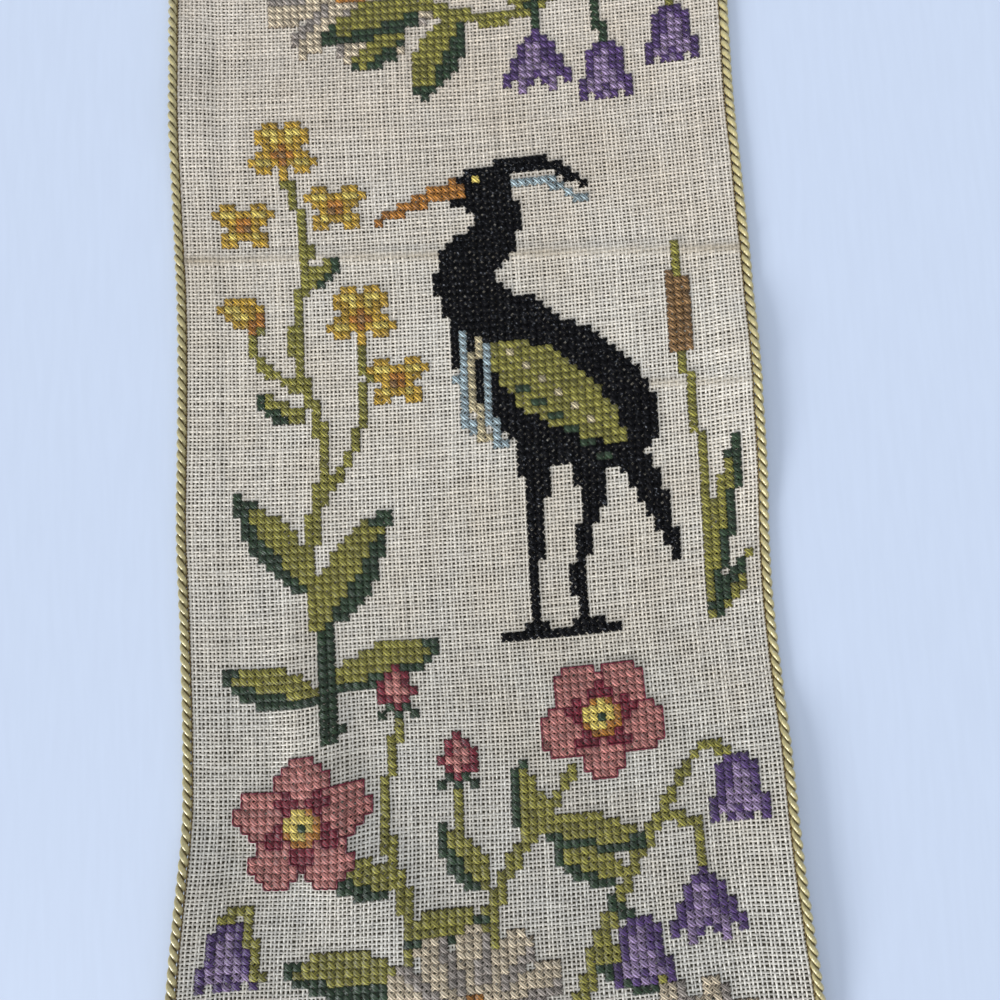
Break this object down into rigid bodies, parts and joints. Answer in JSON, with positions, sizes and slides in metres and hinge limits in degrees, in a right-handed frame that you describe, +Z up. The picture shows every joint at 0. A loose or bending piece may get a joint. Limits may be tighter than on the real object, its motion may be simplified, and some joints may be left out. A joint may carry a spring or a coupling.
{
  "type": "cross-stitch picture band with corded edges",
  "caption": "Long linen band with a counted cross-stitch picture, a twisted cord sewn along each long edge and plain turned ends.",
  "frame": {"origin": "on the surface under the middle of the band", "axes": "+Z up out of the stitched face, +Y along the band towards the top of the picture, +X to the picture's right"},
  "size_m": [0.1615, 0.345, 0.0055],
  "materials": {
    "linen": "undyed evenweave linen, matt, slightly aged",
    "edge_cord": "olive gold twisted cord with a soft satin sheen",
    "stitching": "stranded embroidery cotton in many colours, soft sheen"
  },
  "bodies": {
    "root": {"linen_cloth": "linen", "edge_cord_left": "edge_cord", "edge_cord_right": "edge_cord"}
  },
  "joints": []
}
